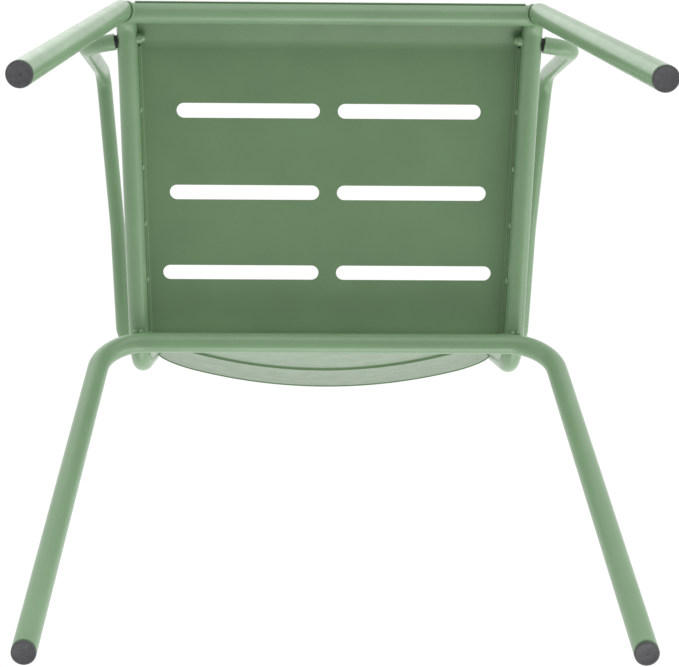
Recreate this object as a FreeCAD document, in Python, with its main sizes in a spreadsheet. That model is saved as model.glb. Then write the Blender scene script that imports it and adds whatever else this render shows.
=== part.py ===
import FreeCAD, Part
import math
import os

from FreeCAD import Placement, Rotation, Vector

# Steel-tube stacking armchair.  Millimetres, +Z up, front of the chair towards -Y.
# Each welded, pressed or bolted piece is its own labelled solid; left is -X, right is +X.

doc = FreeCAD.newDocument("stacking_chair")

# ---------------------------------------------------------------- named sizes
sheet = doc.addObject("Spreadsheet::Sheet", "sizes")
SIZES = [
    ("tube_radius", 11.0), ("tube_wall", 1.5), ("arm_radius", 9.0), ("arm_wall", 1.5),
    ("front_foot_x", 250.7), ("front_foot_y", -230.0),
    ("corner_x", 216.5), ("corner_y", -260.0), ("corner_z", 430.7), ("corner_bend", 26.0),
    ("rail_taper", 0.0243), ("rail_fall", 0.0229),
    ("elbow_y", 131.4), ("elbow_bend", 40.0), ("back_lean", 10.0), ("upright_top", 823.0),
    ("cross_y", -255.5), ("cross_z", 415.4),
    ("rear_foot_x", 264.4), ("rear_foot_y", 258.0),
    ("rear_vertex_x", 243.6), ("rear_vertex_y", 100.3), ("rear_vertex_z", 401.2),
    ("rear_bend", 48.0),
    ("arm_low_x", 260.5), ("arm_low_y", -219.0), ("arm_low_z", 430.0),
    ("arm_high_x", 269.8), ("arm_high_y", -172.0), ("arm_high_z", 641.0),
    ("arm_mid_x", 255.8), ("arm_mid_y", 20.0), ("arm_rear_x", 250.2), ("arm_rear_z", 633.0),
    ("arm_bend", 22.0), ("arm_top_bend", 30.0), ("arm_sweep_bend", 500.0),
    ("bolt_y", -226.0), ("bolt_radius", 3.0), ("bolt_hole_radius", 3.2),
    ("head_radius", 5.6), ("head_height", 9.0), ("spacer_radius", 7.0), ("spacer_gap", 2.0),
    ("sheet_thickness", 1.5), ("pan_rise", 11.2), ("pan_rear_y", 110.0), ("flange_height", 12.2),
    ("front_slope", 20.0), ("front_bend", 30.0), ("front_half_width", 205.0),
    ("shoulder_lap", 4.0),
    ("slot_width", 16.0), ("slot_inner_x", 9.75), ("slot_row_y", -150.3), ("slot_pitch", 89.45),
    ("slot_length", 155.1), ("slot_growth", 8.25),
    ("slat_radius", 626.0), ("slat_half_width", 197.0), ("slat_height", 139.1),
    ("upper_slat_height", 170.0), ("slat_gap", 26.4), ("slat_base_y", 173.9),
    ("slat_base_z", 480.0),
    ("slat_corner", 45.0), ("slat_small_corner", 6.0), ("fold_depth", 6.0),
    ("plug_height", 2.5), ("plug_radius", 10.9), ("plug_stem", 20.0), ("floor_reach", 30.0),
    ("tack_first_y", -152.0), ("tack_pitch", 62.0),
]
for row, (alias, number) in enumerate(SIZES, start=1):
    sheet.set("A%d" % row, alias)
    sheet.set("B%d" % row, str(number))
    sheet.setAlias("B%d" % row, alias)
doc.recompute()


def size(alias):
    """The number stored under one name in the sheet."""
    return float(sheet.get(alias))


# ---------------------------------------------------------------- helpers
def bind(obj, **links):
    """Tie properties of an object to expressions written with the sheet's names."""
    for prop, text in links.items():
        obj.setExpression(prop, text)


def bent_path(points, bends):
    """Centre line through points, each inner corner rounded to its own bend radius."""
    edges = []
    start = points[0]
    for here, ahead, radius in zip(points[1:-1], points[2:], bends):
        back = (edges_end(edges, start) - here).normalize()
        away = (ahead - here).normalize()
        half = back.getAngle(away) / 2
        setback = radius / math.tan(half)
        enter = here + back * setback
        leave = here + away * setback
        centre = here + (back + away).normalize() * (radius / math.sin(half))
        middle = centre + (here - centre).normalize() * radius
        edges.append(Part.makeLine(edges_end(edges, start), enter))
        edges.append(Part.Arc(enter, middle, leave).toShape())
    edges.append(Part.makeLine(edges_end(edges, start), points[-1]))
    return Part.Wire(edges)


def edges_end(edges, start):
    """Where the line drawn so far ends."""
    if not edges:
        return start
    return edges[-1].valueAt(edges[-1].LastParameter)


def add_path(name, points, bends):
    """A bent centre line as a document object: sketches are flat and these bends are not."""
    path = doc.addObject("Part::Feature", name + "_path")
    path.Shape = bent_path(points, bends)
    return path


def sweep_round(name, path, points, radius_text):
    """A round bar swept along a path, its radius bound to the sheet."""
    circle = doc.addObject("Part::Circle", name + "_circle")
    bind(circle, Radius=radius_text)
    aim = Rotation(Vector(0, 0, 1), points[1] - points[0])
    circle.Placement = Placement(points[0], aim)
    bar = doc.addObject("Part::Sweep", name)
    bar.Sections = [circle]
    bar.Spine = (path, ["Edge%d" % (i + 1) for i in range(len(path.Shape.Edges))])
    bar.Solid = True
    bar.Frenet = False
    return bar


def rod(name, start, direction, radius_text, length):
    """A straight cylinder from start along direction."""
    part = doc.addObject("Part::Cylinder", name)
    bind(part, Radius=radius_text)
    part.Height = length
    part.Placement = Placement(start, Rotation(Vector(0, 0, 1), direction))
    return part


def fuse(name, shapes):
    part = doc.addObject("Part::MultiFuse", name)
    part.Shapes = shapes
    part.Refine = True
    return part


def cut(name, base, tools):
    """Take one or more tools away from a base."""
    part = doc.addObject("Part::Cut", name)
    part.Base = base
    part.Tool = tools[0] if len(tools) == 1 else fuse(name + "_tools", tools)
    return part


def common(name, first, second):
    part = doc.addObject("Part::Common", name)
    part.Base = first
    part.Tool = second
    return part


def block(name, corner, length, width, height):
    part = doc.addObject("Part::Box", name)
    part.Length = length
    part.Width = width
    part.Height = height
    part.Placement = Placement(corner, Rotation())
    return part


def flat_sketch(name, placement, pieces):
    """A closed sketch from line and arc pieces laid end to end, held by coincident joints."""
    sketch = doc.addObject("Sketcher::SketchObject", name)
    sketch.Placement = placement
    for piece in pieces:
        sketch.addGeometry(piece, False)
    return sketch


def line(first, second):
    return Part.LineSegment(Vector(*first, 0), Vector(*second, 0))


def arc(first, through, last):
    return Part.Arc(Vector(*first, 0), Vector(*through, 0), Vector(*last, 0))


def extrude(name, sketch, direction, reach, symmetric=False):
    part = doc.addObject("Part::Extrusion", name)
    part.Base = sketch
    part.DirMode = "Custom"
    part.Dir = direction
    part.LengthFwd = reach
    part.Solid = True
    part.Symmetric = symmetric
    return part


def name_part(part, label):
    """Give a finished piece its shelf name."""
    part.Label = label
    finished.append(part)
    return part


finished = []
SIDES = (("left", -1.0), ("right", 1.0))


# ---------------------------------------------------------------- shared points
def rail_point(side, y):
    """A point on a side rail's centre line."""
    run = y - size("corner_y")
    x = size("corner_x") - size("rail_taper") * run
    return Vector(side * x, y, size("corner_z") - size("rail_fall") * run)


LEAN = math.radians(size("back_lean"))
UP_BACK = Vector(0, math.sin(LEAN), math.cos(LEAN))


def upright_point(side, z):
    """A point on a back upright's centre line."""
    elbow = rail_point(side, size("elbow_y"))
    return elbow + UP_BACK * ((z - elbow.z) / UP_BACK.z)


def front_foot(side):
    return Vector(side * size("front_foot_x"), size("front_foot_y"), 0)


def rear_foot(side):
    return Vector(side * size("rear_foot_x"), size("rear_foot_y"), 0)


def rear_vertex(side):
    return Vector(side * size("rear_vertex_x"), size("rear_vertex_y"), size("rear_vertex_z"))


def beyond(foot, knee):
    """A point on the leg's line some way under the floor, so its end can be cut level."""
    return foot + (foot - knee).normalize() * size("floor_reach")


floor_cut = block("floor_cut", Vector(-400, -400, -100), 800, 800, 100)
bind(floor_cut, Height="100 + sizes.plug_height")


# ---------------------------------------------------------------- side frames
# One tube each: front leg, side rail and back upright, drilled for the two arm bolts.
def arm_points(side):
    """Corner points of an armrest's centre line and the two bolt axes."""
    low = Vector(side * size("arm_low_x"), size("arm_low_y"), size("arm_low_z"))
    high = Vector(side * size("arm_high_x"), size("arm_high_y"), size("arm_high_z"))
    front = rail_point(side, size("bolt_y"))
    rear = upright_point(side, size("arm_rear_z"))
    middle_z = (size("arm_high_z") + size("arm_rear_z")) / 2
    middle = Vector(side * size("arm_mid_x"), size("arm_mid_y"), middle_z)
    turn = Vector(side * size("arm_rear_x"), rear.y, rear.z)
    out_front = (low - front).normalize()
    out_rear = Vector(side, 0, 0)
    return front, out_front, low, high, middle, turn, rear, out_rear


outer = {}
for tag, side in SIDES:
    knee = Vector(side * size("corner_x"), size("corner_y"), size("corner_z"))
    elbow = rail_point(side, size("elbow_y"))
    points = [beyond(front_foot(side), knee), knee, elbow, upright_point(side, size("upright_top"))]
    path = add_path("side_" + tag, points, [size("corner_bend"), size("elbow_bend")])
    outer[tag] = sweep_round("side_outer_" + tag, path, points, "sizes.tube_radius")
    inner = sweep_round("side_inner_" + tag, path, points, "sizes.tube_radius - sizes.tube_wall")
    front, out_front, low, high, middle, turn, rear, out_rear = arm_points(side)
    holes = [
        rod("hole_front_" + tag, front - out_front * 15, out_front, "sizes.bolt_hole_radius", 30),
        rod("hole_rear_" + tag, rear - out_rear * 15, out_rear, "sizes.bolt_hole_radius", 30),
    ]
    frame = cut("side_frame_" + tag + "_solid", outer[tag], [inner, floor_cut] + holes)
    name_part(frame, "side_frame_" + tag)

# ---------------------------------------------------------------- front cross tube
# Straight tube between the two front corners, its ends coped to the round side tubes.
reach = size("corner_x")
cross_start = Vector(-reach, size("cross_y"), size("cross_z"))
cross_outer = rod("cross_outer", cross_start, Vector(1, 0, 0), "sizes.tube_radius", 2 * reach)
cross_inner = rod("cross_inner", cross_start, Vector(1, 0, 0),
                  "sizes.tube_radius - sizes.tube_wall", 2 * reach)
cross = cut("front_cross_tube_solid", cross_outer, [cross_inner, outer["left"], outer["right"]])
name_part(cross, "front_cross_tube")

# ---------------------------------------------------------------- rear leg frame
# One inverted U: both rear legs and the crossbar that passes under the side rails.
points = [
    beyond(rear_foot(-1), rear_vertex(-1)), rear_vertex(-1),
    rear_vertex(1), beyond(rear_foot(1), rear_vertex(1)),
]
path = add_path("rear", points, [size("rear_bend")] * 2)
rear_outer = sweep_round("rear_outer", path, points, "sizes.tube_radius")
rear_inner = sweep_round("rear_inner", path, points, "sizes.tube_radius - sizes.tube_wall")
rear_frame = cut("rear_leg_frame_solid", rear_outer, [rear_inner, floor_cut])
name_part(rear_frame, "rear_leg_frame")

# ---------------------------------------------------------------- foot and upright plugs
# Each plug is a stem inside the tube with a round level pad under it.
stem_slab = block("stem_slab", Vector(-400, -400, 2.5), 800, 800, 16)
bind(stem_slab, Height="sizes.plug_stem")
stem_slab.setExpression("Placement.Base.z", "sizes.plug_height")
FEET = [("front", tag, front_foot(side), Vector(side * size("corner_x"), size("corner_y"),
                                                size("corner_z"))) for tag, side in SIDES]
FEET += [("rear", tag, rear_foot(side), rear_vertex(side)) for tag, side in SIDES]
for end, tag, foot, knee in FEET:
    key = end + "_" + tag
    up = (knee - foot).normalize()
    low_end = foot - up * 30
    under = foot + up * (size("plug_height") / 2 / up.z)
    pad = rod("pad_" + key, Vector(under.x, under.y, 0), Vector(0, 0, 1), "sizes.plug_radius",
              size("plug_height"))
    stem_rod = rod("stem_rod_" + key, low_end, up, "sizes.tube_radius - sizes.tube_wall", 90)
    stem = common("stem_" + key, stem_rod, stem_slab)
    name_part(fuse("foot_plug_%s_solid" % key, [pad, stem]), "foot_plug_" + key)

for tag, side in SIDES:
    top = upright_point(side, size("upright_top"))
    stem = rod("top_stem_" + tag, top - UP_BACK * 16, UP_BACK,
               "sizes.tube_radius - sizes.tube_wall", 16)
    lid = rod("top_lid_" + tag, top, UP_BACK, "sizes.tube_radius", 3)
    name_part(fuse("upright_plug_%s_solid" % tag, [stem, lid]), "upright_plug_" + tag)

# ---------------------------------------------------------------- seat pan
# One pressed sheet: flat between the rails, folded down at the sides and the rear,
# sloping at the front and wrapped over the front cross tube; six rounded slots.
thick = size("sheet_thickness")
slope = math.radians(size("front_slope"))


def pan_top(y):
    """Height of the flat part's upper face."""
    return rail_point(1, y).z + size("pan_rise")


wrap = size("tube_radius") + thick


def wrap_point(radius, angle):
    """A point on the wrap over the cross tube, the angle counted forward from its top."""
    turn = math.radians(angle)
    return (size("cross_y") - radius * math.sin(turn), size("cross_z") + radius * math.cos(turn))


def pan_profile(depth):
    """Rear edge, crease start, crease middle, crease end, wrap start, wrap middle, lip end."""
    radius = wrap - depth
    touch = wrap_point(radius, size("front_slope"))
    fall = size("rail_fall")
    rise = pan_top(touch[0]) - depth - touch[1]
    crease_y = touch[0] + rise / (math.tan(slope) + fall)
    crease = (crease_y, pan_top(crease_y) - depth)
    bend = size("front_bend") - depth
    tilt = math.atan(fall)
    setback = bend * math.tan((slope + tilt) / 2)
    enter = (crease[0] + setback * math.cos(tilt), crease[1] - setback * math.sin(tilt))
    leave = (crease[0] - setback * math.cos(slope), crease[1] - setback * math.sin(slope))
    centre = (enter[0] - bend * math.sin(tilt), enter[1] - bend * math.cos(tilt))
    half = (slope - tilt) / 2
    middle = (centre[0] - bend * math.sin(half), centre[1] + bend * math.cos(half))
    rear = (size("pan_rear_y"), pan_top(size("pan_rear_y")) - depth)
    return [rear, enter, middle, leave, touch, wrap_point(radius, 60), wrap_point(radius, 104)]


top_line = pan_profile(0.0)
under_line = pan_profile(thick)
pieces = []
for rear, enter, middle, leave, touch, over, lip in (top_line, under_line):
    pieces += [line(rear, enter), arc(enter, middle, leave), line(leave, touch),
               arc(touch, over, lip)]
pieces.append(line(top_line[-1], under_line[-1]))
pieces.append(line(under_line[0], top_line[0]))
SIDEWAYS = Placement(Vector(0, 0, 0),
                     Rotation(Vector(0, 1, 0), Vector(0, 0, 1), Vector(1, 0, 0), "ZXY"))
profile = flat_sketch("pan_profile", SIDEWAYS, pieces)
pan_sheet = extrude("pan_sheet", profile, Vector(1, 0, 0), 440, symmetric=True)

FLOOR_PLAN = Placement(Vector(0, 0, 380), Rotation())
rear_y = size("pan_rear_y")
front_y = -215.0
rear_half = rail_point(1, rear_y).x - size("tube_radius")
front_half = rail_point(1, front_y).x - size("tube_radius")
nose_half = size("front_half_width")
shoulder_half = nose_half + size("shoulder_lap")
plan = [(-nose_half, -290), (nose_half, -290), (nose_half, -245), (shoulder_half, -239),
        (shoulder_half, front_y), (front_half, front_y), (rear_half, rear_y + 5),
        (-rear_half, rear_y + 5), (-front_half, front_y), (-shoulder_half, front_y),
        (-shoulder_half, -239), (-nose_half, -245)]
plan_lines = [line(a, b) for a, b in zip(plan, plan[1:] + plan[:1])]
plan_sketch = flat_sketch("pan_plan", FLOOR_PLAN, plan_lines)
plan_prism = extrude("pan_plan_prism", plan_sketch, Vector(0, 0, 1), 80)
pan_flat = common("pan_flat", pan_sheet, plan_prism)

flanges = []
for tag, side in SIDES:
    near = rail_point(side, front_y)
    far = rail_point(side, rear_y)
    inward = Vector(-side * size("tube_radius"), 0, 0)
    start = near + inward + Vector(0, 0, size("pan_rise") - size("flange_height"))
    finish = far + inward + Vector(0, 0, size("pan_rise") - size("flange_height"))
    wall = Part.Face(Part.makePolygon([
        start, finish, finish + Vector(0, 0, size("flange_height") - thick),
        start + Vector(0, 0, size("flange_height") - thick), start]))
    blade = doc.addObject("Part::Feature", "flange_wall_" + tag)
    blade.Shape = wall
    flange = extrude("flange_" + tag, blade, Vector(-side, 0, 0), thick)
    flanges.append(flange)
rear_flange = block("flange_rear", Vector(-rear_half, rear_y - thick, pan_top(rear_y) - 12),
                    2 * rear_half, thick, 12 - thick / 2)
slots = []
for index in range(3):
    y = size("slot_row_y") + index * size("slot_pitch")
    length = size("slot_length") + index * size("slot_growth")
    radius = size("slot_width") / 2
    for tag, side in SIDES:
        near = side * (size("slot_inner_x") + radius)
        far = side * (size("slot_inner_x") + length - radius)
        low, high = min(near, far), max(near, far)
        outline = [
            line((low, y - radius), (high, y - radius)),
            arc((high, y - radius), (high + radius, y), (high, y + radius)),
            line((high, y + radius), (low, y + radius)),
            arc((low, y + radius), (low - radius, y), (low, y - radius)),
        ]
        name = "slot_%s_%d" % (tag, index + 1)
        slots.append(extrude(name, flat_sketch(name + "_outline", FLOOR_PLAN, outline),
                             Vector(0, 0, 1), 80))
pan_body = fuse("pan_body", [pan_flat, rear_flange] + flanges)
# The front shoulders lap over the corner bends and are hollowed to lie round the tubes.
seats = []
for tag, side in SIDES:
    near_corner = block("shoulder_zone_" + tag, Vector(side * 225 - 35, -252, 400), 70, 32, 60)
    seats.append(common("shoulder_seat_" + tag, outer[tag], near_corner))
name_part(cut("seat_pan_solid", pan_body, slots + seats), "seat_pan")

# ---------------------------------------------------------------- back slats
# Two curved sheets between the uprights; the edges that face the gap are folded back.
TILT = Rotation(Vector(1, 0, 0), -size("back_lean"))
BACK = Placement(Vector(0, size("slat_base_y"), size("slat_base_z")), TILT)


def arc_band(name, radius, depth, half_width, base, height):
    """A strip of a tall cylinder wall, concave to the front, depth thick."""
    angle = math.asin(half_width / radius)
    inner_arc = [(radius * math.sin(t), radius * math.cos(t) - radius) for t in (-angle, 0, angle)]
    far = radius + depth
    outer_arc = [(far * math.sin(t), far * math.cos(t) - radius) for t in (-angle, 0, angle)]
    sketch = flat_sketch(name + "_plan", BACK.multiply(Placement(Vector(0, 0, base), Rotation())), [
        arc(*inner_arc), line(inner_arc[2], outer_arc[2]), arc(*outer_arc),
        line(outer_arc[0], inner_arc[0])])
    return extrude(name, sketch, UP_BACK, height)


def slat_front(name, base, top, low_corner, high_corner):
    """Front outline of a slat with its own corner radii, as a deep prism."""
    half = size("slat_half_width")
    slant = math.sqrt(0.5)
    pieces = []
    for side in (-1, 1):
        low, high = low_corner, high_corner
        x = side * half
        pieces.append(arc((x - side * low, 0), (x - side * low * (1 - slant), low * (1 - slant)),
                          (x, low)))
        pieces.append(arc((x - side * high, top),
                          (x - side * high * (1 - slant), top - high * (1 - slant)),
                          (x, top - high)))
        pieces.append(line((x, low), (x, top - high)))
    pieces.append(line((low_corner - half, 0), (half - low_corner, 0)))
    pieces.append(line((high_corner - half, top), (half - high_corner, top)))
    upright_view = Placement(Vector(0, 120, base), Rotation(Vector(1, 0, 0), 90))
    sketch = flat_sketch(name, BACK.multiply(upright_view), pieces)
    return extrude(name + "_prism", sketch, BACK.Rotation.multVec(Vector(0, -1, 0)), 240)


SLATS = [
    ("lower", 0.0, size("slat_height"), size("slat_corner"), size("slat_small_corner"),
     size("slat_height") - thick),
    ("upper", size("slat_height") + size("slat_gap"), size("upper_slat_height"),
     size("slat_small_corner"), size("slat_corner"), 0.0),
]
for tag, base, top, low, high, fold_at in SLATS:
    band = arc_band("slat_band_" + tag, size("slat_radius"), thick, size("slat_half_width") + 5,
                    base, top)
    front = slat_front("slat_front_" + tag, base, top, low, high)
    plate = common("slat_plate_" + tag, band, front)
    fold = arc_band("slat_fold_" + tag, size("slat_radius") + thick / 2, size("fold_depth"),
                    size("slat_half_width") - 14, base + fold_at, thick)
    body = fuse("slat_body_" + tag, [plate, fold])
    name_part(cut("back_slat_%s_solid" % tag, body, [outer["left"], outer["right"]]),
              "back_slat_" + tag)

# ---------------------------------------------------------------- armrests, bolts and spacers
# A smaller bent tube each side with threaded plugs welded in its ends; a bolt through the
# side tube and a soft spacer holds each end.
for tag, side in SIDES:
    front, out_front, low, high, middle, turn, rear, out_rear = arm_points(side)
    stand_off = size("tube_radius") + size("spacer_gap")
    points = [front + out_front * stand_off, low, high, middle, turn, rear + out_rear * stand_off]
    path = add_path("arm_" + tag, points, [size("arm_bend"), size("arm_top_bend"),
                                           size("arm_sweep_bend"), size("arm_bend")])
    arm_outer = sweep_round("arm_outer_" + tag, path, points, "sizes.arm_radius")
    arm_inner = sweep_round("arm_inner_" + tag, path, points, "sizes.arm_radius - sizes.arm_wall")
    shell = cut("arm_shell_" + tag, arm_outer, [arm_inner])
    ends = []
    bores = []
    for end, base, away in (("front", front, out_front), ("rear", rear, out_rear)):
        key = end + "_" + tag
        mouth = base + away * stand_off
        ends.append(rod("arm_thread_" + key, mouth, away, "sizes.arm_radius - sizes.arm_wall", 6))
        bores.append(rod("arm_bore_" + key, mouth, away, "sizes.bolt_radius", 6))
        ring = rod("spacer_ring_" + key, base, away, "sizes.spacer_radius", stand_off)
        ring_bore = rod("spacer_bore_" + key, base, away, "sizes.bolt_hole_radius", stand_off)
        spacer = cut("arm_spacer_%s_solid" % key, ring, [ring_bore, outer[tag]])
        name_part(spacer, "arm_spacer_" + key)
        seat_at = base - away * size("tube_radius")
        shank = rod("bolt_shank_" + key, seat_at, away, "sizes.bolt_radius",
                    size("tube_radius") + stand_off + 5)
        head = rod("bolt_collar_" + key, seat_at, away * -1, "sizes.head_radius",
                   size("head_height") / 2)
        dome = doc.addObject("Part::Ellipsoid", "bolt_dome_" + key)
        dome.Radius1 = size("head_height") / 2
        bind(dome, Radius2="sizes.head_radius", Radius3="sizes.head_radius")
        dome.Angle1 = 0
        dome.Placement = Placement(seat_at - away * (size("head_height") / 2),
                                   Rotation(Vector(0, 0, 1), away * -1))
        cap = cut("bolt_cap_" + key, fuse("bolt_cap_blank_" + key, [head, dome]), [outer[tag]])
        name_part(fuse("arm_bolt_%s_solid" % key, [shank, cap]), "arm_bolt_" + key)
    arm = cut("armrest_%s_solid" % tag, fuse("arm_body_" + tag, [shell] + ends), bores)
    name_part(arm, "armrest_" + tag)

# ---------------------------------------------------------------- weld beads
# Tack welds along the seat flanges, and beads where the crossbar meets the rails.
def bead(label, centre, radii, tools):
    """A small rounded bead trimmed to the faces it joins."""
    blob = doc.addObject("Part::Ellipsoid", label + "_blob")
    blob.Radius1 = radii[2]
    blob.Radius2 = radii[0]
    blob.Radius3 = radii[1]
    blob.Placement = Placement(centre, Rotation())
    name_part(cut(label + "_solid", blob, tools), label)


for tag, side in SIDES:
    for index in range(5):
        spot = rail_point(side, size("tack_first_y") + index * size("tack_pitch"))
        centre = spot + Vector(-side * (size("tube_radius") + 0.6), 0, -1.6)
        bead("seat_tack_%s_%d" % (tag, index + 1), centre, (1.8, 3.2, 1.8),
             [outer[tag], pan_body])
    crossing = rail_point(side, size("rear_vertex_y"))
    for end, shift in (("front", -6.5), ("rear", 6.5)):
        centre = crossing + Vector(0, shift, -size("tube_radius") - 1.2)
        bead("crossbar_weld_%s_%s" % (end, tag), centre, (5.0, 3.0, 2.2), [outer[tag], rear_outer])

# ---------------------------------------------------------------- recompute, check and export
doc.recompute()
for obj in doc.Objects:
    if "Invalid" in obj.State or "Error" in obj.State:
        raise RuntimeError("feature failed: " + obj.Name)
os.makedirs("parts", exist_ok=True)
for part in finished:
    shape = part.Shape
    if shape.isNull() or not shape.isValid() or shape.Volume <= 0:
        raise RuntimeError("bad shape: " + part.Label)
    if len(shape.Solids) != 1:
        raise RuntimeError("%s has %d solids" % (part.Label, len(shape.Solids)))
    shape.exportStep("parts/%s.step" % part.Label)
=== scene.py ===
import math

import bmesh
import bpy
import numpy as np
from mathutils import Matrix


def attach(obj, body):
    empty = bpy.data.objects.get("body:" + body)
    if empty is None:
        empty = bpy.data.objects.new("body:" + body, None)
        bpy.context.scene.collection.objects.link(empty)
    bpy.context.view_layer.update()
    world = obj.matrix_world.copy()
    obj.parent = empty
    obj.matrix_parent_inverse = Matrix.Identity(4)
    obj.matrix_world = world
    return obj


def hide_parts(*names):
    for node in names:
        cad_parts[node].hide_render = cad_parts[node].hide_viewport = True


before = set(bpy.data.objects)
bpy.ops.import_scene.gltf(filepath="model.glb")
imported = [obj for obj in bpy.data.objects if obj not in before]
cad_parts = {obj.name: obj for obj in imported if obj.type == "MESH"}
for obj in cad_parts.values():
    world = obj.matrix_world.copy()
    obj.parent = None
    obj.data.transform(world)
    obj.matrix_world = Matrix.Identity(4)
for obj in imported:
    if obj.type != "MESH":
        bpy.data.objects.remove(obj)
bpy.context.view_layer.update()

# ------------------------------------------------------------------ side frames
# Each side is one 22 mm steel tube: front leg, side rail and back upright, bent cold
# and powder coated with the rest of the frame.  The foot end is cut level.
TUBE, TUBE_BORE = 0.011, 0.0095
END_EASE = 0.0004
PAD = 0.0025
SPARE = 0.002  # a leg's line runs this far past the floor before its end is cut level
CORNER = np.array([0.2165, -0.260, 0.4307])
FRONT_FOOT = np.array([0.2507, -0.230, 0.0])
RAIL_TAPER, RAIL_FALL = 0.0243, 0.0229
CORNER_BEND, ELBOW_BEND = 0.026, 0.040
LEAN = math.radians(10)
ELBOW_Y, UPRIGHT_TOP = 0.1314, 0.823
LEAN_UP = np.array([0, math.sin(LEAN), math.cos(LEAN)])
SIDES = (("left", -1), ("right", 1))


def mirror(points, side):
    """The same points on the left (-1) or right (+1) of the chair."""
    return np.asarray(points, float) * (side, 1, 1)


def rail(y):
    """Centre of the right side rail: it closes in and drops in proportion to y."""
    run = y - CORNER[1]
    return np.array([CORNER[0] - RAIL_TAPER * run, y, CORNER[2] - RAIL_FALL * run])


def upright(z):
    """Centre of the right upright at height z, along the leaning direction."""
    foot = rail(ELBOW_Y)
    return foot + LEAN_UP * ((z - foot[2]) / LEAN_UP[2])


def unit(vector):
    """The same direction at length one."""
    return vector / np.linalg.norm(vector)


def bent_line(corners, bends, steps=22):
    """Stations along a bent tube: straight runs, and at each inner corner an arc of its
    bend radius whose stations are the start turned about the bend's axis by equal angles.
    Returns the centres, two unit directions across the tube, which turn with the bends,
    and the direction along it."""
    corners = [np.asarray(c, float) for c in corners]
    ahead = unit(corners[1] - corners[0])
    helper = (0.31, 0.17, 0.93) if abs(ahead[2]) < 0.8 else (0.2, 0.97, 0)
    across = unit(np.cross(ahead, helper))
    centres, sides, fronts = [corners[0][None]], [across[None]], [ahead[None]]
    for here, after, radius in zip(corners[1:-1], corners[2:], bends):
        turned = unit(after - here)
        axis = unit(np.cross(ahead, turned))
        angle = math.acos(np.clip(ahead @ turned, -1, 1))
        start = here - ahead * radius * math.tan(angle / 2)
        inward = np.cross(axis, ahead)
        a = np.linspace(0, angle, steps)[:, None]
        centres.append(start + radius * (np.sin(a) * ahead + (1 - np.cos(a)) * inward))
        fronts.append(np.cos(a) * ahead + np.sin(a) * inward)
        flat = across - axis * (axis @ across)
        sides.append(np.cos(a) * flat + np.sin(a) * np.cross(axis, flat) + axis * (axis @ across))
        ahead, across = turned, sides[-1][-1]
    centres.append(corners[-1][None])
    sides.append(across[None])
    fronts.append(ahead[None])
    centres, sides, fronts = (np.concatenate(x) for x in (centres, sides, fronts))
    return centres, sides, np.cross(fronts, sides), fronts


def ring(stations, radius, count=56):
    """Circle of the given radius round each station: centre + r (cos a U + sin a V)."""
    centres, u, v, _ = stations
    a = np.linspace(0, 2 * math.pi, count, endpoint=False)
    radius = np.broadcast_to(np.asarray(radius, float), len(centres))[:, None, None]
    circle = np.cos(a)[None, :, None] * u[:, None] + np.sin(a)[None, :, None] * v[:, None]
    return centres[:, None] + radius * circle


def level(rings, ahead, index, height):
    """Slides one ring of points along the tube until all of it lies at one height."""
    slide = (height - rings[index][:, 2]) / ahead[2]
    rings[index] += slide[:, None] * ahead


def grid_faces(rows, cols, wrap_rows=False, wrap_cols=True, first=0):
    """Quads of a grid of rows x cols points, joined round in either direction on request."""
    r = np.arange(rows if wrap_rows else rows - 1)
    c = np.arange(cols if wrap_cols else cols - 1)
    r, c = np.meshgrid(r, c, indexing="ij")
    r2, c2 = (r + 1) % rows, (c + 1) % cols
    quads = np.stack([r * cols + c, r * cols + c2, r2 * cols + c2, r2 * cols + c], axis=-1)
    return quads.reshape(-1, 4) + first


def build(name, shells, material, nodes, crease=35.0):
    """Makes one object from (points, faces) shells, joins coincident points, turns the
    faces outward and hands the piece to the frame in place of its CAD nodes."""
    offset, points, faces = 0, [], []
    for shell_points, shell_faces in shells:
        shell_points = np.asarray(shell_points, float).reshape(-1, 3)
        points.append(shell_points)
        faces += (np.asarray(shell_faces) + offset).tolist()
        offset += len(shell_points)
    mesh = bpy.data.meshes.new(name)
    mesh.from_pydata(np.concatenate(points).tolist(), [], faces)
    work = bmesh.new()
    work.from_mesh(mesh)
    bmesh.ops.remove_doubles(work, verts=work.verts, dist=2e-6)
    bmesh.ops.dissolve_degenerate(work, edges=work.edges, dist=1e-7)
    bmesh.ops.recalc_face_normals(work, faces=work.faces)
    work.to_mesh(mesh)
    work.free()
    mesh.polygons.foreach_set("use_smooth", np.ones(len(mesh.polygons), bool))
    mesh.set_sharp_from_angle(angle=math.radians(crease))
    mesh.materials.append(material)
    piece = bpy.data.objects.new(name, mesh)
    bpy.context.scene.collection.objects.link(piece)
    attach(piece, "root")
    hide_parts(*nodes)
    return piece


def hollow(stations, outer, bore, start_level=None, end_level=None, count=56):
    """Closed skin of a hollow tube: the outer wall forward, the bore back, joined in a ring
    at both ends, each with an eased outer edge and optionally cut level at a height."""
    outside = ring(stations, outer, count)
    inside = ring(stations, bore, count)
    ahead = stations[3]
    ends = []
    for index, height in ((0, start_level), (-1, end_level)):
        soft = ring(tuple(x[[index]] for x in stations), outer - END_EASE, count)
        if height is not None:
            level(outside, ahead[index], index, height)
            level(inside, ahead[index], index, height)
            level(soft, ahead[index], 0, height)
        ends.append(soft)
        outside[index] += ahead[index] * END_EASE * (1 if index == 0 else -1)
    rings = np.concatenate([ends[0], outside, ends[1], inside[::-1]])
    return rings, grid_faces(len(rings), count, wrap_rows=True)


def new_material(name):
    """An empty node material: the material, its node tree and its shader."""
    material = bpy.data.materials.new(name)
    material.use_nodes = True
    tree = material.node_tree
    return material, tree, tree.nodes["Principled BSDF"]


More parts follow.
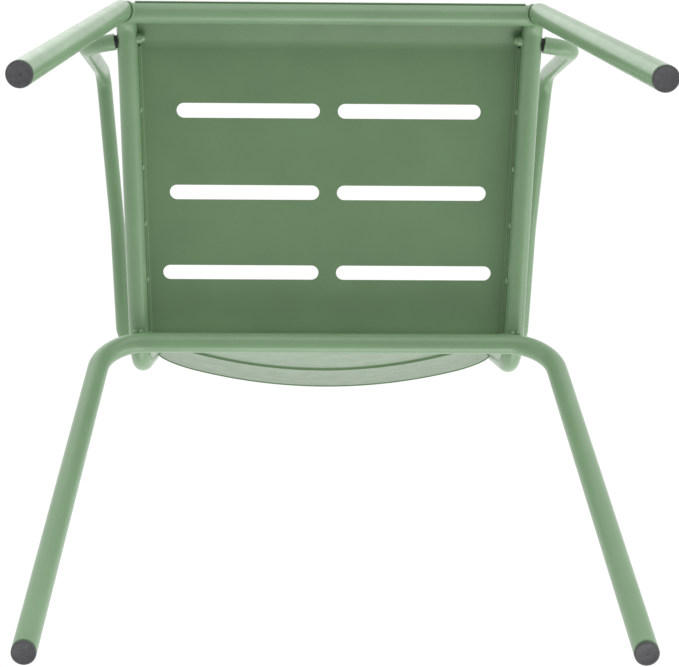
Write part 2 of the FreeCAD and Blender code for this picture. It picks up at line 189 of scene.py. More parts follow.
def add_node(tree, kind, links=(), **sockets):
    """Adds a shader node, sets its sockets by their names with spaces as underscores, and
    links each (socket, source) pair into it."""
    node = tree.nodes.new("ShaderNode" + kind)
    for name, value in sockets.items():
        node.inputs[name.replace("_", " ")].default_value = value
    for name, source in links:
        tree.links.new(source, node.inputs[name])
    return node


def noise(tree, scale, detail, rough=0.5):
    """Cloudy noise over the piece, its scale counted in features to the metre."""
    where = add_node(tree, "TexCoord").outputs["Object"]
    cloud = add_node(tree, "TexNoise", [("Vector", where)], Scale=scale, Detail=detail,
                     Roughness=rough)
    return cloud.outputs["Fac"]


def spread(tree, source, stops):
    """Turns a 0 to 1 value into colours laid out along it."""
    node = add_node(tree, "ValToRGB", [("Fac", source)])
    ramp = node.color_ramp
    ramp.elements[0].position, ramp.elements[0].color = stops[0]
    ramp.elements[1].position, ramp.elements[1].color = stops[-1]
    for position, colour in stops[1:-1]:
        ramp.elements.new(position).color = colour
    return node.outputs["Color"]


def gloss_range(tree, shader, source, low, high, start=0.0, end=1.0):
    """Lets the roughness wander between two values as the source goes from start to end."""
    node = add_node(tree, "MapRange", [("Value", source)], From_Min=start, From_Max=end,
                    To_Min=low, To_Max=high)
    tree.links.new(node.outputs["Result"], shader.inputs["Roughness"])


def relief(tree, shader, height, strength, distance):
    """Raises and sinks the surface by a height, seen only in how it takes the light."""
    node = add_node(tree, "Bump", [("Height", height)], Strength=strength, Distance=distance)
    tree.links.new(node.outputs["Normal"], shader.inputs["Normal"])


def powder_coat(name, base, low_gloss=0.34, high_gloss=0.46, peel=0.05, coat=0.5):
    """Satin powder coat: fine orange peel of about a millimetre, slow drift of colour and
    gloss over centimetres, and faint pale grain where the powder lay thinner."""
    material, tree, shader = new_material(name)
    shader.inputs["IOR"].default_value = 1.5
    shader.inputs["Coat Weight"].default_value = coat
    shader.inputs["Coat Roughness"].default_value = 0.22

    def shade(factor):
        return tuple(channel * factor for channel in base) + (1,)

    drift = spread(tree, noise(tree, 14, 3),
                   [(0.3, shade(0.94)), (0.5, shade(1.0)), (0.72, shade(1.06))])
    thin, thick = (0.93,) * 3 + (1,), (1.05,) * 3 + (1,)
    grain = spread(tree, noise(tree, 1500, 2, 0.6), [(0.35, thin), (0.7, thick)])
    mix = tree.nodes.new("ShaderNodeMix")
    mix.data_type, mix.blend_type = "RGBA", "MULTIPLY"
    mix.inputs["Factor"].default_value = 1
    tree.links.new(drift, mix.inputs["A"])
    tree.links.new(grain, mix.inputs["B"])
    tree.links.new(mix.outputs["Result"], shader.inputs["Base Color"])
    gloss_range(tree, shader, noise(tree, 60, 4), low_gloss, high_gloss, 0.3, 0.7)
    height = tree.nodes.new("ShaderNodeMath")
    height.operation = "MULTIPLY_ADD"
    height.inputs[1].default_value = 0.35
    tree.links.new(noise(tree, 2200, 2), height.inputs[0])
    tree.links.new(noise(tree, 650, 2), height.inputs[2])
    relief(tree, shader, height.outputs["Value"], peel, 0.001)
    return material


GREEN = (0.225, 0.372, 0.205)
tube_paint = powder_coat("sage powder coat on tube", GREEN)

for tag, side in SIDES:
    toe = unit(FRONT_FOOT - CORNER)
    route = [FRONT_FOOT + toe * SPARE, CORNER, rail(ELBOW_Y), upright(UPRIGHT_TOP)]
    stations = bent_line(mirror(route, side), [CORNER_BEND, ELBOW_BEND], 30)
    build("side_frame_%s_tube" % tag, [hollow(stations, TUBE, TUBE_BORE, start_level=PAD)],
          tube_paint, ["side_frame_" + tag])

# ------------------------------------------------------------------ front cross tube
# A straight 22 mm tube between the front corners, its ends coped round the side tubes
# and welded all round; the bead stands a little proud under the paint.
CROSS_Y, CROSS_Z = -0.2555, 0.4154
SIDE_X = 0.2170  # a side tube's axis where the cross tube meets it
CORNER_HUB = (-0.2321, 0.4041)  # y and z of the corner bend's middle
SEAM_BEAD, SEAM_RIPPLES, SEAM_IN = 0.0015, 30, 0.0003




def cope(y, z):
    """Distance out to the side tube's wall at a point of the cross tube: the side axis
    less the half chord left at the point's distance from the corner bend's centre line,
    which is a circle round the hub."""
    away = np.hypot(y - CORNER_HUB[0], z - CORNER_HUB[1]) - CORNER_BEND
    return SIDE_X - np.sqrt(np.maximum(TUBE**2 - away**2, 0))


def bead_ring(path, out, along, thick, ripples):
    """A weld bead: a small circle carried round a closed seam, its radius swelling and
    sinking with each ripple of the weld pool."""
    turn = np.linspace(0, 2 * math.pi, len(path), endpoint=False)
    pool = thick * (1 + 0.12 * np.sin(ripples * turn) + 0.06 * np.sin(3 * turn + 1))
    a = np.linspace(0, 2 * math.pi, 12, endpoint=False)
    circle = np.cos(a)[None, :, None] * out[:, None] + np.sin(a)[None, :, None] * along[:, None]
    points = path[:, None] + pool[:, None, None] * circle
    return points, grid_faces(len(path), 12, wrap_rows=True)


a = np.linspace(0, 2 * math.pi, 144, endpoint=False)
round_y, round_z = np.cos(a), np.sin(a)
walls = []
for radius, sign in ((TUBE, -1), (TUBE, 1), (TUBE_BORE, 1), (TUBE_BORE, -1)):
    y, z = CROSS_Y + radius * round_y, CROSS_Z + radius * round_z
    walls.append(np.stack([sign * cope(y, z), y, z], axis=-1))
shells = [(np.array(walls), grid_faces(4, len(a), wrap_rows=True))]
for sign in (-1, 1):
    y, z = CROSS_Y + TUBE * round_y, CROSS_Z + TUBE * round_z
    outward = np.stack([0 * a, round_y, round_z], axis=-1)
    seam = np.stack([sign * cope(y, z), y, z], axis=-1)
    seam = seam - (sign * SEAM_IN, 0, 0)
    along = np.array([[sign, 0, 0]] * len(a))
    shells.append(bead_ring(seam, outward, along, SEAM_BEAD, SEAM_RIPPLES))
build("front_cross_tube_coped", shells, tube_paint, ["front_cross_tube"])

# ------------------------------------------------------------------ rear leg frame
# One inverted U of the same tube: both rear legs and the crossbar that carries the side
# rails, which sit on it and are welded in front and behind.
REAR_FOOT = np.array([0.2644, 0.258, 0.0])
REAR_KNEE = np.array([0.2436, 0.1003, 0.4012])
REAR_BEND = 0.048
BEAD_OUT, BEAD_PITCH, BEAD_SINK = 0.0096, 0.0064, 0.0020
BEAD_SIZE, BEAD_RIPPLE = (0.0031, 0.0029, 0.0028), 0.05

heel = unit(REAR_FOOT - REAR_KNEE)
half = [REAR_FOOT + heel * SPARE, REAR_KNEE]
route = [mirror(half[0], -1), mirror(half[1], -1), half[1], half[0]]
stations = bent_line(route, [REAR_BEND] * 2, 30)
build("rear_leg_frame_tube", [hollow(stations, TUBE, TUBE_BORE, PAD, PAD)],
      tube_paint, ["rear_leg_frame"])


def blob(centre, half_size, ripples=0.0):
    """A closed bead of weld: an ellipsoid whose skin is rippled along its longest way."""
    centre, half_size = np.asarray(centre, float), np.asarray(half_size, float)
    rows, cols = 13, 20
    up = np.linspace(-math.pi / 2, math.pi / 2, rows)[:, None]
    a = np.linspace(0, 2 * math.pi, cols, endpoint=False)[None]
    ball = np.stack([np.cos(up) * np.cos(a), np.cos(up) * np.sin(a), np.sin(up) + 0 * a],
                    axis=-1)
    longest = int(np.argmax(half_size))
    skin = 1 + ripples * np.sin(14 * ball[..., longest])
    points = centre + ball * half_size * skin[..., None]
    return points, grid_faces(rows, cols)


for tag, side in SIDES:
    crossing = rail(REAR_KNEE[1])
    for end, shift in (("front", -BEAD_OUT), ("rear", BEAD_OUT)):
        shells = []
        for dx in (-BEAD_PITCH / 2, BEAD_PITCH / 2):
            lift = TUBE - math.sqrt(TUBE**2 - dx**2)
            at = crossing + (dx, shift, lift - TUBE - BEAD_SINK)
            shells.append(blob(mirror(at, side), BEAD_SIZE, BEAD_RIPPLE))
        build("crossbar_bead_%s_%s" % (end, tag), shells, tube_paint,
              ["crossbar_weld_%s_%s" % (end, tag)])

# ------------------------------------------------------------------ seat pan
# Pressed 1.5 mm sheet nested between the rails: punched with two columns of three slots,
# its sides and rear folded down, its front sloping to wrap over the cross tube.
SHEET = 0.0015
PAN_RISE = 0.0112
FOLD_R, FOLD_DROP, SKIRT_LAP = 0.0035, 0.0118, 0.0035
APRON_Y, PAN_REAR = -0.2160, 0.110
SLOT_R, SLOT_IN = 0.008, 0.00975
SLOT_ROWS = ((-0.1503, 0.1551), (-0.06085, 0.16335), (0.0286, 0.1716))
CELL_EDGES = (APRON_Y, -0.105575, -0.016125, PAN_REAR - FOLD_R)
EDGE, CUT_EASE = 0.0004, 0.0003
ROWS, COLUMNS = 17, 29
# The sheets' green is the tube green made darker. It is painted shade standing in for the shadow
# under the seat; the chair itself is painted one green throughout.
SHADED_SHEET_GREEN = (0.165, 0.282, 0.140)


def pan_z(y):
    """Height of the flat sheet's upper face: the rail line lifted."""
    return CORNER[2] - RAIL_FALL * (y - CORNER[1]) + PAN_RISE


def flat_half(y):
    """Half width of the flat part, where the side folds begin."""
    return CORNER[0] - RAIL_TAPER * (y - CORNER[1]) - TUBE - FOLD_R


def cell(side, row_y, length, near_y, far_y):
    """One slot and the sheet round it: rings run from the cell's border on the upper face
    to the slot, over its eased edge, down the wall, and out along the lower face."""
    n, m = ROWS, COLUMNS
    low, high = SLOT_IN + SLOT_R, SLOT_IN + length - SLOT_R
    a = np.linspace(-math.pi / 2, math.pi / 2, n)
    x = np.concatenate([high + SLOT_R * np.cos(a), np.linspace(high, low, m)[1:-1],
                        low - SLOT_R * np.cos(a), np.linspace(low, high, m)[1:-1]])
    y = np.concatenate([SLOT_R * np.sin(a), np.full(m - 2, SLOT_R),
                        -SLOT_R * np.sin(a), np.full(m - 2, -SLOT_R)]) + row_y
    nx = np.concatenate([-np.cos(a), np.zeros(m - 2), np.cos(a), np.zeros(m - 2)])
    ny = np.concatenate([-np.sin(a), -np.ones(m - 2), np.sin(a), np.ones(m - 2)])
    up = np.linspace(near_y, far_y, n)
    across = np.linspace(1, 0, m)[1:-1]
    bx = np.concatenate([flat_half(up), across * flat_half(far_y), 0 * up,
                         across[::-1] * flat_half(near_y)])
    by = np.concatenate([up, np.full(m - 2, far_y), up[::-1], np.full(m - 2, near_y)])
    rings = [(bx, by, 0.0)]
    for out, depth in ((3, 0), (1, 0), (0.3, 0.3), (0, 1)):
        rings.append((x - nx * out * EDGE, y - ny * out * EDGE, -depth * EDGE))
    rings += [(rx, ry, -SHEET - rz) for rx, ry, rz in rings[::-1]]
    points = np.array([np.stack([side * rx, ry, pan_z(ry) + rz], axis=-1)
                       for rx, ry, rz in rings])
    return points, grid_faces(len(rings), len(x))


def folded_edge(drop, radius):
    """Section of a folded edge: out along a quarter round, down to the drop, over the cut
    edge and back up inside.  Pairs of distance out and height."""
    a = np.linspace(0, math.pi / 2, 9)
    out = np.concatenate([radius * np.sin(a), [radius, radius - CUT_EASE]])
    up = np.concatenate([radius * np.cos(a) - radius, [EDGE - drop, -drop]])
    inner = radius - SHEET
    a = a[::-1]
    out = np.concatenate([out, [inner + CUT_EASE, inner], inner * np.sin(a)])
    up = np.concatenate([up, [-drop, EDGE - drop], inner * np.cos(a) - radius])
    return out, up


def skirt():
    """The folded sides and rear in one band: the folded section carried along the border
    of the flat sheet, its outward direction swinging round at each rear corner."""
    m = COLUMNS
    runs = [np.linspace(a, b, ROWS)[1:] for a, b in zip(CELL_EDGES, CELL_EDGES[1:])]
    side_y = np.concatenate([[APRON_Y - SKIRT_LAP, APRON_Y]] + runs)
    swing = np.linspace(0, math.pi / 2, 9)[1:]
    rear = CELL_EDGES[-1]
    across = np.linspace(1, 0, m)[1:]
    x = np.concatenate([flat_half(side_y), np.full(8, flat_half(rear)), across * flat_half(rear)])
    y = np.concatenate([side_y, np.full(8 + m - 1, rear)])
    nx = np.concatenate([np.ones(len(side_y)), np.cos(swing), np.zeros(m - 1)])
    ny = np.concatenate([np.zeros(len(side_y)), np.sin(swing), np.ones(m - 1)])
    x, y = np.concatenate([x, -x[-2::-1]]), np.concatenate([y, y[-2::-1]])
    nx, ny = np.concatenate([nx, -nx[-2::-1]]), np.concatenate([ny, ny[-2::-1]])
    out, up = folded_edge(FOLD_DROP, FOLD_R)
    px = x[:, None] + nx[:, None] * out
    py = y[:, None] + ny[:, None] * out
    points = np.stack([px, py, pan_z(py) + up], axis=-1)
    faces = grid_faces(len(x), len(out), wrap_cols=False)
    count, half_out = len(out), len(out) // 2
    k = np.arange(half_out)
    end = np.stack([k, k + 1, count - 2 - k, count - 1 - k], axis=-1)[:half_out - 1]
    caps = np.concatenate([end, end[:, ::-1] + (len(x) - 1) * count])
    return points, np.concatenate([faces, caps])


SLOPE, LIP, CREASE_R = math.radians(20), math.radians(104), 0.030
WRAP = TUBE + SHEET
NOSE_HALF, SHOULDER_HALF = 0.205, 0.209
SHOULDER_FRONT, SHOULDER_BLEND = -0.239, 0.006


def apron_line(depth):
    """Section of the front at a depth below the upper face: crease, slope, wrap round the
    cross tube and lip, as arcs and straights in y and z."""
    radius, bend, tilt = WRAP - depth, CREASE_R - depth, math.atan(RAIL_FALL)
    touch_y = CROSS_Y - radius * math.sin(SLOPE)
    touch_z = CROSS_Z + radius * math.cos(SLOPE)
    crease_y = touch_y + (pan_z(touch_y) - depth - touch_z) / (math.tan(SLOPE) + RAIL_FALL)
    setback = bend * math.tan((SLOPE + tilt) / 2)
    enter_y = crease_y + setback * math.cos(tilt)
    hub_y = enter_y - bend * math.sin(tilt)
    hub_z = pan_z(enter_y) - depth - bend * math.cos(tilt)
    a = np.linspace(-tilt, SLOPE, 10)
    w = np.linspace(SLOPE, LIP, 26)
    run_y = np.linspace(APRON_Y, enter_y, 8)[:-1]
    y = np.concatenate([run_y, hub_y - bend * np.sin(a), CROSS_Y - radius * np.sin(w)])
    z = np.concatenate([pan_z(run_y) - depth, hub_z + bend * np.cos(a),
                        CROSS_Z + radius * np.cos(w)])
    return y, z


def apron():
    """The front of the pan: the section carried across from side to side, its half width
    easing from the shoulders, which lap over the corner bends, to the narrower nose."""
    top_y, top_z = apron_line(0.0)
    low_y, low_z = apron_line(SHEET)
    middle = WRAP - SHEET / 2
    end_y = CROSS_Y - middle * math.sin(LIP) - CUT_EASE * math.cos(LIP)
    end_z = CROSS_Z + middle * math.cos(LIP) - CUT_EASE * math.sin(LIP)
    y = np.concatenate([top_y, [end_y], low_y[::-1]])
    z = np.concatenate([top_z, [end_z], low_z[::-1]])
    narrow = np.clip((SHOULDER_FRONT - y) / SHOULDER_BLEND, 0, 1)
    half_w = SHOULDER_HALF - (SHOULDER_HALF - NOSE_HALF) * narrow * narrow * (3 - 2 * narrow)
    t = np.linspace(1, -1, 2 * COLUMNS - 1)
    points = np.stack([t[:, None] * half_w, np.tile(y, (len(t), 1)), np.tile(z, (len(t), 1))],
                      axis=-1)
    count = len(y)
    k = np.arange(count // 2)
    cap = np.stack([k, k + 1, count - 2 - k, count - 1 - k], axis=-1)
    faces = grid_faces(len(t), count, wrap_cols=False)
    return points, np.concatenate([faces, cap[:, ::-1], cap + (len(t) - 1) * count])


shells = [skirt(), apron()]
for (row_y, length), near_y, far_y in zip(SLOT_ROWS, CELL_EDGES, CELL_EDGES[1:]):
    shells += [cell(side, row_y, length, near_y, far_y) for _, side in SIDES]
# The sheet paint is the powder coat in that darker green, a shaded copy of the tube paint, so the
# seat pan and the back slats carry painted shade.
shaded_sheet_paint = powder_coat("sage powder coat on sheet, darkened as painted shade", SHADED_SHEET_GREEN, 0.40, 0.52, 0.035, 0.3)
build("seat_pan_sheet", shells, shaded_sheet_paint, ["seat_pan"])

# Short tack welds in the groove between the folded sides and the rails, painted over.
TACK_START, TACK_PITCH = -0.152, 0.062
TACK_AT, TACK_SIZE = (-TUBE - 0.0006, 0, -0.0016), (0.0018, 0.0032, 0.0017)
for tag, side in SIDES:
    shells = []
    for y in TACK_START + TACK_PITCH * np.arange(5):
        shells.append(blob(mirror(rail(y) + TACK_AT, side), TACK_SIZE, BEAD_RIPPLE))
    build("seat_tacks_" + tag, shells, tube_paint,
          ["seat_tack_%s_%d" % (tag, i) for i in range(1, 6)])

# ------------------------------------------------------------------ back slats
# Two sheets rolled to a wide curve and welded between the uprights; the edges that face
# the gap between them are folded back to stiffen them.
SLAT_R, SLAT_HALF, LOWER_H, UPPER_H = 0.626, 0.1958, 0.1391, 0.1700
SLAT_GAP, SLAT_BASE = 0.0264, np.array([0, 0.1739, 0.480])
BIG_CORNER, SMALL_CORNER, FOLD_BACK = 0.045, 0.006, 0.006
FADE_END, FADE_RUN = 0.006, 0.016
SHARP_BEND, FULL_BEND = 0.0005, 0.0022
WELD_HEIGHTS, WELD_SIZE = (0.052, 0.078, 0.104), (0.0016, 0.0022, 0.0060)
WELD_IN, WELD_AHEAD = 0.0002, 0.0315
LEAN_BACK = np.array([0, math.cos(LEAN), -math.sin(LEAN)])


def corner_loss(x, radius):
    """How much a rounded corner takes off the height at x: a quarter circle's sagitta."""
    over = np.clip(np.abs(x) - (SLAT_HALF - radius), 0, radius)
    return radius - np.sqrt(radius**2 - over**2)


def slat(base, tall, flip):
    """A rolled sheet: columns across, and round each column a closed section that climbs
    the front, turns back over the fold, and comes down behind to the plain cut edge.
    The fold fades out towards both ends.  flip puts it at the bottom."""
    s = np.linspace(-1, 1, 121)
    x = SLAT_HALF * np.sin(s * math.pi / 2)
    low = corner_loss(x, BIG_CORNER)
    high = tall - corner_loss(x, SMALL_CORNER)
    fade = np.clip((SLAT_HALF - FADE_END - np.abs(x)) / FADE_RUN, 0, 1)
    reach = SHEET + (FOLD_BACK - SHEET) * fade * fade * (3 - 2 * fade)
    bend = SHARP_BEND + (FULL_BEND - SHARP_BEND) * fade
    q = np.linspace(0, math.pi / 2, 6)
    heights, depths = [], []
    climb = np.linspace(0, 1, 7)[1:]
    foot = low + CUT_EASE
    heights += [foot] + [foot + (high - bend - foot) * t for t in climb]
    depths += [0 * x] * 7
    heights += [high - bend + bend * math.sin(t) for t in q[1:]]
    depths += [bend - bend * math.cos(t) for t in q[1:]]
    heights += [high, high - CUT_EASE, high - SHEET + CUT_EASE, high - SHEET]
    depths += [reach - CUT_EASE, reach, reach, reach - CUT_EASE]
    inner = np.maximum(bend - SHEET, 0.0001)
    heights += [high - SHEET - inner + inner * math.sin(t) for t in q[::-1]]
    depths += [SHEET + inner - inner * math.cos(t) for t in q[::-1]]
    heights += [foot + (high - SHEET - inner - foot) * t for t in climb[-2::-1]]
    depths += [SHEET + 0 * x] * 5
    heights += [foot, low, low]
    depths += [SHEET + 0 * x, SHEET - CUT_EASE + 0 * x, CUT_EASE + 0 * x]
    heights, depths = np.array(heights).T, np.array(depths).T
    if flip:
        heights = tall - heights
    angle = np.arcsin(x / SLAT_R)[:, None]
    radius = SLAT_R + depths
    across, back = radius * np.sin(angle), radius * np.cos(angle) - SLAT_R
    points = (SLAT_BASE + across[..., None] * (1, 0, 0) + back[..., None] * LEAN_BACK
              + (base + heights)[..., None] * LEAN_UP)
    count = heights.shape[1]
    k = np.arange(count // 2 - 1)
    cap = np.stack([k, k + 1, count - 2 - k, count - 1 - k], axis=-1)
    faces = [grid_faces(len(x), count), cap, cap[:, ::-1] + (len(x) - 1) * count]
    return points, np.concatenate(faces)


def slat_bead(side, base):
    """Three stitch welds along a slat's end, down the upright's inner flank."""
    end = SLAT_BASE + (SLAT_HALF - WELD_IN, 0, 0) - LEAN_BACK * WELD_AHEAD
    return [blob(mirror(end + LEAN_UP * (base + height), side), WELD_SIZE, BEAD_RIPPLE)
            for height in WELD_HEIGHTS]


for tag, base, tall, flip in (("lower", 0.0, LOWER_H, False),
                              ("upper", LOWER_H + SLAT_GAP, UPPER_H, True)):
    shells = [slat(base, tall, flip)] + slat_bead(-1, base) + slat_bead(1, base)
    build("back_slat_%s_sheet" % tag, shells, shaded_sheet_paint, ["back_slat_" + tag])

# ------------------------------------------------------------------ armrests
# Each arm is an 18 mm tube bent four times, its ends closed by threaded plugs, standing
# off the frame on soft black spacers and held by bolts put in from the chair's inner side.
ARM, STAND_OFF = 0.009, 0.013
ARM_LOW, ARM_HIGH = np.array([0.2605, -0.219, 0.430]), np.array([0.2698, -0.172, 0.641])
ARM_MID, ARM_REAR_X, ARM_REAR_Z = np.array([0.2558, 0.020, 0.637]), 0.2502, 0.633
ARM_BENDS, ARM_EASE = (0.022, 0.030, 0.5, 0.022), 0.0005
CENTRE = 1e-5  # a radius so small that its circle closes an end
BOLT_Y = -0.226


def arm_ends():
    """On the right: the name of each end, where its bolt crosses the frame tube, its outward
    way, and the way along the frame tube there."""
    front, rear = rail(BOLT_Y), upright(ARM_REAR_Z)
    return (("front", front, unit(ARM_LOW - front), unit(rail(0) - rail(-0.1))),
            ("rear", rear, np.array([1.0, 0, 0]), LEAN_UP))


def turned(base, away, along, profile, count=40, hexagon=0):
    """A turned part: pairs of distance along the axis and radius, swung round the axis.
    The first few pairs, as many as hexagon says, are cut back to six flats."""
    profile = np.asarray(profile, float)
    side_way = unit(np.cross(along, away))
    up_way = np.cross(away, side_way)
    a = np.linspace(0, 2 * math.pi, count, endpoint=False)
    circle = np.cos(a)[:, None] * side_way + np.sin(a)[:, None] * up_way
    radius = np.broadcast_to(profile[:, 1, None], (len(profile), count)).copy()
    flats = math.cos(math.pi / 6) / np.cos((a + math.pi / 6) % (math.pi / 3) - math.pi / 6)
    radius[:hexagon] *= np.minimum(1, flats / 0.9)
    points = base + profile[:, 0, None, None] * away + radius[..., None] * circle
    return points, grid_faces(len(profile), count)


for tag, side in SIDES:
    (_, front, out_front, _), (_, rear, out_rear, _) = arm_ends()
    turn = np.array([ARM_REAR_X, rear[1], rear[2]])
    route = [front + out_front * STAND_OFF, ARM_LOW, ARM_HIGH, ARM_MID, turn,
             rear + out_rear * STAND_OFF]
    stations = bent_line(mirror(route, side), ARM_BENDS, 26)
    skin = ring(stations, ARM, 48)
    ease = [ring(tuple(x[[i]] for x in stations), r, 48) for i, r in
            ((0, CENTRE), (0, ARM - ARM_EASE), (-1, ARM - ARM_EASE), (-1, CENTRE))]
    skin[0] += stations[3][0] * ARM_EASE
    skin[-1] -= stations[3][-1] * ARM_EASE
    skin = np.concatenate(ease[:2] + [skin] + ease[2:])
    build("armrest_%s_tube" % tag, [(skin, grid_faces(len(skin), 48))], tube_paint,
          ["armrest_" + tag])

# ------------------------------------------------------------------ arm spacers and bolts
# Moulded black rings keep the arm off the painted frame, hollowed to sit on its round.
# The bolts have hexagon heads with a domed crown, painted with the frame.
SPACER, SPACER_BORE, HEAD = 0.007, 0.0032, 0.0056
HEAD_SEAT, HEAD_FLAT, HEAD_CROWN, CROWN_RISE = 0.0012, 0.0036, 0.0042, 0.0047


def matt_rubber():
    """Black rubber: cloudy roughness and a fine moulded grain."""
    material, tree, shader = new_material("matt black rubber")
    shader.inputs["Base Color"].default_value = (0.018, 0.018, 0.019, 1)
    grain = noise(tree, 900, 4)
    gloss_range(tree, shader, grain, 0.55, 0.8)
    relief(tree, shader, grain, 0.15, 0.0005)
    return material


rubber = matt_rubber()
for tag, side in SIDES:
    for end, base, away, along in arm_ends():
        base, away, along = (mirror(v, side) for v in (base, away, along))
        ring_profile = [(0.0, SPACER_BORE), (0.0, SPACER), (STAND_OFF - ARM_EASE, SPACER),
                        (STAND_OFF, SPACER - ARM_EASE), (STAND_OFF, SPACER_BORE)]
        points, faces = turned(base, away, along, ring_profile)
        reach = points[:2] - base
        aside = np.abs(reach @ unit(np.cross(along, away)))
        saddle = np.sqrt(TUBE**2 - np.minimum(aside, TUBE) ** 2)
        points[:2] += saddle[..., None] * away
        faces = grid_faces(len(ring_profile), 40, wrap_rows=True)
        build("arm_spacer_%s_%s_ring" % (end, tag), [(points, faces)],
              rubber, ["arm_spacer_%s_%s" % (end, tag)])
        seat = -TUBE + HEAD_SEAT
        head_profile = [(seat, CENTRE), (seat, HEAD), (-TUBE - HEAD_FLAT, HEAD),
                        (-TUBE - HEAD_CROWN, HEAD * 0.9)]
        head_profile += [(-TUBE - HEAD_CROWN - CROWN_RISE * math.sin(t),
                          HEAD * 0.82 * math.cos(t) + CENTRE)
                         for t in np.linspace(0, math.pi / 2, 11)]
        build("arm_bolt_%s_%s_head" % (end, tag),
              [turned(base, away, along, head_profile, 48, hexagon=3)],
              tube_paint, ["arm_bolt_%s_%s" % (end, tag)], crease=25)

# ------------------------------------------------------------------ foot and upright plugs
# Injection-moulded dark grey plastic, pushed into the tube ends: a level pad with a
# rounded rim and a slightly sunk face under each foot, a low lid on each upright.
PAD_R, RIM, SUNK, STEM = 0.0109, 0.0008, 0.0003, 0.020
PLASTIC_DARK, PLASTIC_PALE = (0.078, 0.079, 0.082, 1), (0.118, 0.119, 0.123, 1)


def moulded_plastic():
    """Dark grey plastic: cloudy colour and roughness over a fine cellular mould grain."""
    material, tree, shader = new_material("moulded grey plastic")
    cloud = noise(tree, 220, 5)
    colour = spread(tree, cloud, [(0.3, PLASTIC_DARK), (0.75, PLASTIC_PALE)])
    tree.links.new(colour, shader.inputs["Base Color"])
    gloss_range(tree, shader, cloud, 0.5, 0.68)
    where = add_node(tree, "TexCoord").outputs["Object"]
    grain = add_node(tree, "TexVoronoi", [("Vector", where)], Scale=2400)
    relief(tree, shader, grain.outputs["Distance"], 0.2, 0.0003)
    return material


def plug(foot, up):
    """A round level pad with a sunk face and rounded rim, whose circles are pairs of radius
    and height, and above it the stem, circles slid along the leg's leaning axis."""
    q = np.linspace(0, math.pi / 2, 7)
    sunk = [(CENTRE, 2 * SUNK), (0.0012, 2 * SUNK), (0.0016, SUNK), (PAD_R - 0.0024, SUNK),
            (PAD_R - 0.0018, 0.0)]
    rim = [(PAD_R - RIM + RIM * math.sin(t), RIM - RIM * math.cos(t)) for t in q]
    profile = np.array(sunk + rim + [(PAD_R, PAD - SUNK), (PAD_R - SUNK, PAD)])
    under = foot + up * (PAD / 2 / up[2])
    a = np.linspace(0, 2 * math.pi, 64, endpoint=False)
    level_ring = np.stack([np.cos(a), np.sin(a), 0 * a], axis=-1)
    pad = under * (1, 1, 0) + profile[:, 0, None, None] * level_ring
    pad[..., 2] = profile[:, 1, None]
    stem = foot + np.array([TUBE_BORE, TUBE_BORE, CENTRE])[:, None, None] * level_ring
    heights = np.array([PAD, PAD + STEM, PAD + STEM])[:, None]
    stem = stem + (heights / up[2])[..., None] * up
    points = np.concatenate([pad, stem])
    return points, grid_faces(len(points), 64)


plastic = moulded_plastic()
for tag, side in SIDES:
    for end, foot, knee in (("front", FRONT_FOOT, CORNER), ("rear", REAR_FOOT, REAR_KNEE)):
        foot, knee = mirror(foot, side), mirror(knee, side)
        build("foot_plug_%s_%s_pad" % (end, tag), [plug(foot, unit(knee - foot))], plastic,
              ["foot_plug_%s_%s" % (end, tag)])
    lid = [(-0.016, CENTRE), (-0.016, TUBE_BORE), (0.0, TUBE_BORE), (0.0, TUBE - 0.0002),
           (0.0008, TUBE - 0.0001)]
    lid += [(0.0012 + 0.0016 * math.sin(t), TUBE - 0.0016 + 0.0015 * math.cos(t))
            for t in np.linspace(0, math.pi / 2, 6)]
    lid += [(0.0029, TUBE * 0.5), (0.00295, CENTRE)]
    build("upright_plug_%s_lid" % tag,
          [turned(mirror(upright(UPRIGHT_TOP), side), LEAN_UP, np.array([1.0, 0, 0]), lid, 56)],
          plastic, ["upright_plug_" + tag])

# ------------------------------------------------------------------ camera
# Under the chair and a little ahead of it, looking almost straight up at the seat, with
# the seat's front edge at the top of the frame.  The frame is 679 wide and 667 high.
CAM_AT = (-0.0398, -0.3375, -1.1129)
CAM_PITCH, CAM_YAW, CAM_ROLL = (math.radians(a) for a in (77.6, 0.797, -0.307))
CAM_LENS, CAM_SHIFT = 76.08, (0.04143, -0.12334)

look = np.array([0, math.cos(CAM_PITCH), math.sin(CAM_PITCH)])
down = np.array([0, math.sin(CAM_PITCH), -math.cos(CAM_PITCH)])
axes = np.array([[1.0, 0, 0], down, look])
yaw_turn = np.array([[math.cos(CAM_YAW), 0, -math.sin(CAM_YAW)], [0, 1, 0],
                     [math.sin(CAM_YAW), 0, math.cos(CAM_YAW)]])
roll_turn = np.array([[math.cos(CAM_ROLL), math.sin(CAM_ROLL), 0],
                      [-math.sin(CAM_ROLL), math.cos(CAM_ROLL), 0], [0, 0, 1]])
axes = roll_turn @ yaw_turn @ axes
cam_data = bpy.data.cameras.new("camera")
cam_data.sensor_width = 36
cam_data.lens = CAM_LENS
cam_data.shift_x, cam_data.shift_y = CAM_SHIFT
cam_data.clip_start, cam_data.clip_end = 0.05, 20
camera = bpy.data.objects.new("camera", cam_data)
cam_turn = Matrix(np.array([axes[0], -axes[1], -axes[2]]).T.tolist()).to_4x4()
camera.matrix_world = Matrix.Translation(CAM_AT) @ cam_turn
bpy.context.scene.collection.objects.link(camera)
bpy.context.scene.camera = camera

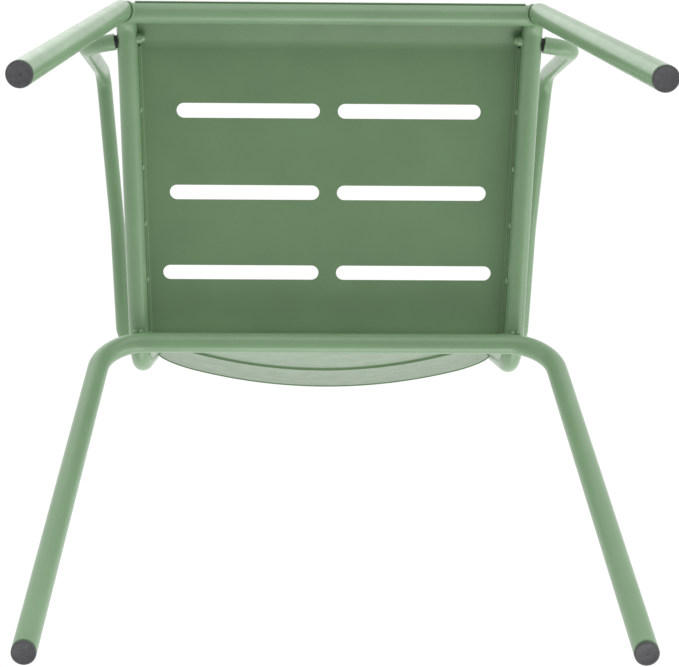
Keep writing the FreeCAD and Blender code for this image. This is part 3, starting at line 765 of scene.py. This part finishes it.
# ------------------------------------------------------------------ floor and light
# A pale floor that shows only from above, since the camera looks up through it, soft
# white surroundings, a broad light ahead of the seat and weak ones at the sides.
floor_mesh = bpy.data.meshes.new("floor")
floor_mesh.from_pydata([(-6, -6, 0), (6, -6, 0), (6, 6, 0), (-6, 6, 0)], [], [(0, 1, 2, 3)])
floor = bpy.data.objects.new("floor", floor_mesh)
bpy.context.scene.collection.objects.link(floor)
floor_paint, floor_tree, floor_shader = new_material("pale floor")
floor_shader.inputs["Base Color"].default_value = (0.86, 0.86, 0.86, 1)
floor_shader.inputs["Roughness"].default_value = 0.9
clear = add_node(floor_tree, "BsdfTransparent")
facing = add_node(floor_tree, "NewGeometry")
pick = add_node(floor_tree, "MixShader", [("Fac", facing.outputs["Backfacing"]),
                                          (1, floor_shader.outputs["BSDF"]),
                                          (2, clear.outputs["BSDF"])])
floor_tree.links.new(pick.outputs["Shader"], floor_tree.nodes["Material Output"].inputs["Surface"])
floor_mesh.materials.append(floor_paint)
floor.visible_diffuse = floor.visible_glossy = floor.visible_shadow = False

# The surround is dim from below, full from the level up, and a touch brighter overhead.
RISE, FADE = (-1.0, -0.1, 0.32, 1.00), (0.0, 0.6, 0.0, 0.03)
world = bpy.data.worlds.new("white surround")
world.use_nodes = True
sky = world.node_tree
surround = sky.nodes["Background"]
surround.inputs["Color"].default_value = (1, 1, 1, 1)
way = add_node(sky, "TexCoord").outputs["Generated"]
climb = add_node(sky, "SeparateXYZ", [("Vector", way)]).outputs["Z"]
glow = add_node(sky, "Math")
for index, (start, end, low, high) in enumerate((RISE, FADE)):
    ramp = add_node(sky, "MapRange", [("Value", climb)], From_Min=start, From_Max=end,
                    To_Min=low, To_Max=high)
    sky.links.new(ramp.outputs["Result"], glow.inputs[index])
sky.links.new(glow.outputs["Value"], surround.inputs["Strength"])
bpy.context.scene.world = world


def soft_light(name, at, aim, size, power):
    """A square area light pointed at a place."""
    data = bpy.data.lights.new(name, "AREA")
    data.shape, data.size, data.energy = "SQUARE", size, power
    lamp = bpy.data.objects.new(name, data)
    back = unit(np.array(at, float) - np.array(aim, float))
    right = unit(np.cross((0, 0.02, 1) if abs(back[2]) < 0.99 else (0, 1, 0), back))
    turn = Matrix(np.array([right, np.cross(back, right), back]).T.tolist()).to_4x4()
    lamp.matrix_world = Matrix.Translation(at) @ turn
    bpy.context.scene.collection.objects.link(lamp)


soft_light("front light", (0.5, -2.6, -0.7), (0, 0, 0.35), 2.0, 12)
soft_light("right light", (2.4, 1.5, -0.9), (0, 0.1, 0.35), 2.0, 22)
soft_light("rear light", (0.6, 2.8, -1.3), (0, 0.1, 0.35), 2.0, 30)
soft_light("top light", (-0.8, -1.4, 2.4), (0, 0, 0.5), 1.6, 6)
bpy.context.scene.view_settings.view_transform = "Standard"
